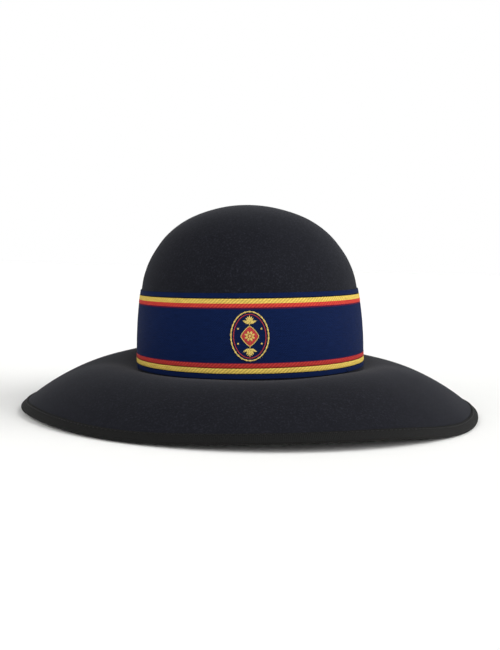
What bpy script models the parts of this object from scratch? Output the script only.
"""A round-crowned felt hat with a turned-down brim, a woven hat band and a ribbon-bound edge.

Metres, +Z up, front towards -Y. The hat rests on its brim's edge, with the origin on the surface
below the middle of the brim. A turn is an angle in degrees from the front, by way of the right (+X).
"""

import math

import bmesh
import bpy
from mathutils import Euler, Matrix, Vector

# Crown, measured on the outside of the felt. Its rim leans to the left, and its tip sways there too
CROWN_WIDTH = 0.1670
CROWN_LENGTH = 0.2018
CROWN_HEIGHT = 0.1199
LEAN_LEFT_DEG = 2.0
TIP_SWAY = 0.0017
# Crown sections from the tip down to the break, as shares of the height and of the width
CROWN_SECTIONS = (
    # height, width
    (1.00, 0.000),
    (0.99, 0.18),
    (0.96, 0.36),
    (0.92, 0.51),
    (0.87, 0.63),
    (0.81, 0.73),
    (0.74, 0.81),
    (0.66, 0.88),
    (0.57, 0.93),
    (0.48, 0.955),
    (0.35, 0.98),
    (0.20, 0.995),
    (0.00, 1.000),
)

# Brim, from the break, which is the line where it leaves the crown, out to the felt's edge
BRIM_REACH = 0.0824
BRIM_SWAY = 0.0003
BRIM_DROP = 0.0287
BRIM_ARCH = 0.0176
EDGE_WAVE = 0.0057
BRIM_CURL = 1.7
BREAK_RADIUS = 0.0020
# Brim sections round the hat: how far the edge stands above its lowest points, as a share of
# EDGE_WAVE, and how far the brim bulges above its run from break to edge, as a share of BRIM_ARCH
BRIM_SECTIONS = (
    # turn, lift, arch
    (0, 0.90, 0.40),
    (30, 1.00, 0.50),
    (60, 0.00, 0.55),
    (90, 0.55, 0.30),
    (120, 0.45, 0.40),
    (150, 0.40, 0.65),
    (180, 0.05, 0.85),
    (210, 0.05, 0.90),
    (240, 0.00, 0.65),
    (270, 0.00, 0.45),
    (300, 0.35, 0.55),
    (330, 0.15, 0.45),
)

# Felt, ribbon and the room left between pieces that touch
FELT_WALL = 0.0020
RIBBON_WALL = 0.0005
GAP = 0.0003

# Hat band: a ribbon round the crown whose two ends lap at the back
BAND_WIDTH = 0.0559
BAND_SEAT = 0.0023
LAP_STEPS = 2
LAP_RISE_STEPS = 2

# Binding: a ribbon folded over the brim's edge, pressed flat where it rests
BINDING_LEG = 0.0040
REST_FLAT = 0.0004

# Facets
TURN_STEPS = 60
DOME_ROWS = 9
BAND_ROWS = 4
BREAK_ROWS = 3
BRIM_ROWS = 6
BINDING_ROWS = 2
NOSE_ROWS = 5

STEP_DEG = 360 / TURN_STEPS
BACK_DEG = 180
CROWN_TURN = Euler((0, math.radians(-LEAN_LEFT_DEG), 0)).to_matrix()


def through(before, start, end, after, share):
    """The value at a share of the way from start to end, on a smooth curve through all four."""
    return 0.5 * (
        2 * start
        + (end - before) * share
        + (2 * before - 5 * start + 4 * end - after) * share**2
        + (3 * start - before - 3 * end + after) * share**3
    )


def crown_section(station):
    """Height and width shares at a station, counted in rows of CROWN_SECTIONS from the tip."""
    rows = [Vector(row) for row in CROWN_SECTIONS]
    across_tip = Vector((rows[1].x, -rows[1].y))
    past_break = 2 * rows[-1] - rows[-2]
    rows = [across_tip, *rows, past_break]
    row = min(int(station), len(CROWN_SECTIONS) - 2)
    return through(*rows[row : row + 4], station - row)


def crown_station(height):
    """The station on the crown at a height above the break, found by halving."""
    low, high = 0.0, len(CROWN_SECTIONS) - 1.0
    for _ in range(40):
        middle = (low + high) / 2
        if crown_section(middle).x * CROWN_HEIGHT > height:
            low = middle
        else:
            high = middle
    return (low + high) / 2


def crown_point(station, turn):
    """A point on the outside of the crown."""
    height, width = crown_section(station)
    angle = math.radians(turn)
    upright = Vector((
        width * CROWN_WIDTH / 2 * math.sin(angle) - TIP_SWAY * height**2,
        -width * CROWN_LENGTH / 2 * math.cos(angle),
        height * CROWN_HEIGHT,
    ))
    return CROWN_TURN @ upright


def brim_section(turn):
    """Edge lift and arch shares at a turn, on a smooth curve round the table."""
    count = len(BRIM_SECTIONS)
    place = turn % 360 / 360 * count
    row = int(place)
    near = [Vector(BRIM_SECTIONS[(row + step) % count][1:]) for step in (-1, 0, 1, 2)]
    return through(*near, place - row)


def brim_point(out, turn):
    """A point on the top of the brim, at a share of the way out from the break to the edge."""
    lift, arch = brim_section(turn)
    angle = math.radians(turn)
    root = crown_point(len(CROWN_SECTIONS) - 1, turn)
    level = Vector((math.sin(angle), -math.cos(angle), 0)) * BRIM_REACH * out
    level.x += BRIM_SWAY * out
    edge_height = lift * EDGE_WAVE - BRIM_DROP
    fall = (edge_height - root.z) * out**BRIM_CURL
    bulge = 4 * out * (1 - out) * arch * BRIM_ARCH
    return root + level + Vector((0, 0, fall + bulge))


def outward(surface, place, turn):
    """The unit normal of crown_point or brim_point, pointing away from the head."""
    small = 1e-3
    along = surface(place + small, turn) - surface(place - small, turn)
    around = surface(place, turn + small) - surface(place, turn - small)
    return around.cross(along).normalized() * -1


def steps(start, end, count):
    """The values that split start to end into count equal steps, both ends included."""
    return [start + (end - start) * step / count for step in range(count + 1)]


def band_stations():
    """The crown's stations at the band's rows, from its top edge to its lower edge."""
    return [crown_station(h) for h in steps(BAND_SEAT + BAND_WIDTH, BAND_SEAT, BAND_ROWS)]


def binding_shares():
    """The brim's shares under the binding, from the end of its leg to the felt's edge."""
    return steps(1 - BINDING_LEG / BRIM_REACH, 1, BINDING_ROWS)


def felt_ring_makers():
    """One function of the turn for each row of the felt, from the ring under the tip to the edge."""
    band = band_stations()
    dome = steps(0, band[0], DOME_ROWS)[1:-1]
    makers = [lambda turn, s=s: crown_point(s, turn) for s in [*dome, *band]]

    wall_end = crown_station(BREAK_RADIUS)
    brim_start = BREAK_RADIUS / BRIM_REACH

    def break_point(share, turn):
        corner = crown_point(len(CROWN_SECTIONS) - 1, turn)
        down = crown_point(wall_end, turn).lerp(corner, share)
        return down.lerp(corner.lerp(brim_point(brim_start, turn), share), share)

    makers += [lambda turn, s=s: break_point(s, turn) for s in steps(0, 1, BREAK_ROWS)]
    binding = binding_shares()
    open_brim = steps(brim_start, binding[0], BRIM_ROWS)[1:-1]
    makers += [lambda turn, s=s: brim_point(s, turn) for s in [*open_brim, *binding]]
    return makers


def band_point(station, step):
    """A point on the outside of the band. Step counts round from the end that lies underneath."""
    first = BACK_DEG / STEP_DEG - LAP_STEPS / 2
    turn = (first + step) * STEP_DEG
    climb = (step - (TURN_STEPS - LAP_RISE_STEPS)) / LAP_RISE_STEPS
    over = min(max(climb, 0), 1) * (RIBBON_WALL + GAP)
    lift = GAP + RIBBON_WALL + over
    return crown_point(station, turn) + lift * outward(crown_point, station, turn)


def binding_rows(turn):
    """The points on the outside of the binding at a turn, from the top leg round to the lower one."""
    legs = binding_shares()
    reach = FELT_WALL / 2 + GAP + RIBBON_WALL
    points = {1: [], -1: []}
    for share in legs:
        middle = brim_point(share, turn) - outward(brim_point, share, turn) * FELT_WALL / 2
        for side in points:
            points[side].append(middle + outward(brim_point, share, turn) * reach * side)
    top, under = points[1], points[-1]
    middle = (top[-1] + under[-1]) / 2
    up = (top[-1] - middle).normalized()
    ahead = (middle - (top[-2] + under[-2]) / 2).normalized()
    ahead = (ahead - up * ahead.dot(up)).normalized()
    nose = [
        middle + reach * (up * math.cos(angle) + ahead * math.sin(angle))
        for angle in steps(0, math.pi, NOSE_ROWS)[1:-1]
    ]
    return [*top, *nose, *reversed(under)]


def loft(name, rings, closed, tip=None):
    """A one-sided sheet through rings of points, outside up, with a point closing it at the tip."""
    bm = bmesh.new()
    rows = [[bm.verts.new(point) for point in ring] for ring in rings]
    count = len(rows[0])
    spans = [(i, (i + 1) % count) for i in range(count if closed else count - 1)]
    if tip is not None:
        peak = bm.verts.new(tip)
        for here, there in spans:
            bm.faces.new((peak, rows[0][here], rows[0][there]))
    for above, below in zip(rows, rows[1:]):
        for here, there in spans:
            bm.faces.new((above[here], below[here], below[there], above[there]))
    mesh = bpy.data.meshes.new(name)
    bm.to_mesh(mesh)
    bm.free()
    mesh.shade_smooth()
    return bpy.data.objects.new(name, mesh)


def walled(piece, thickness):
    """Gives a sheet its thickness, on its inner side."""
    wall = piece.modifiers.new("wall", "SOLIDIFY")
    wall.thickness = thickness
    wall.offset = -1
    wall.use_even_offset = True
    wall.use_quality_normals = True
    return piece


def finish(piece, colour, roughness):
    """Gives a piece its cloth colour."""
    material = bpy.data.materials.new(piece.name)
    material.use_nodes = True
    shader = material.node_tree.nodes["Principled BSDF"]
    shader.inputs["Base Color"].default_value = (*colour, 1)
    shader.inputs["Roughness"].default_value = roughness
    shader.inputs["Metallic"].default_value = 0
    piece.data.materials.append(material)
    return piece


def felt_body():
    """The crown and brim, blocked from one piece of felt."""
    turns = [step * STEP_DEG for step in range(TURN_STEPS)]
    rings = [[point_at(turn) for turn in turns] for point_at in felt_ring_makers()]
    sheet = loft("felt_body", rings, closed=True, tip=crown_point(0, 0))
    return finish(walled(sheet, FELT_WALL), (0.018, 0.019, 0.025), 0.95)


def hat_band():
    """The woven ribbon round the crown, once round and over its own end."""
    columns = range(TURN_STEPS + LAP_STEPS + 1)
    rings = [[band_point(station, step) for step in columns] for station in band_stations()]
    sheet = loft("hat_band", rings, closed=False)
    return finish(walled(sheet, RIBBON_WALL), (0.008, 0.013, 0.055), 0.6)


def brim_binding():
    """The ribbon folded over the brim's edge, with its lowest stretches pressed flat."""
    sections = [binding_rows(step * STEP_DEG) for step in range(TURN_STEPS)]
    floor = min(point.z for section in sections for point in section) + REST_FLAT
    for section in sections:
        for point in section:
            point.z = max(point.z, floor)
    sheet = loft("brim_binding", list(zip(*sections)), closed=True)
    return finish(walled(sheet, RIBBON_WALL), (0.012, 0.012, 0.012), 0.8)


def middle_and_floor(piece):
    """The middle of a piece in plan, at the height of its lowest point."""
    corners = [vertex.co for vertex in piece.data.vertices]
    low = Vector(min(co[axis] for co in corners) for axis in range(3))
    high = Vector(max(co[axis] for co in corners) for axis in range(3))
    return Vector(((low.x + high.x) / 2, (low.y + high.y) / 2, low.z))


def main():
    """Builds the hat at rest on its brim."""
    for leftover in list(bpy.data.objects):
        bpy.data.objects.remove(leftover)
    hat = bpy.data.collections.new("felt_hat")
    bpy.context.scene.collection.children.link(hat)

    pieces = [felt_body(), hat_band(), brim_binding()]
    seat = bpy.data.objects.new("hat_seat", None)
    seat.matrix_world = Matrix.Translation(-middle_and_floor(pieces[-1]))
    hat.objects.link(seat)
    for piece in pieces:
        hat.objects.link(piece)
        piece.parent = seat


main()
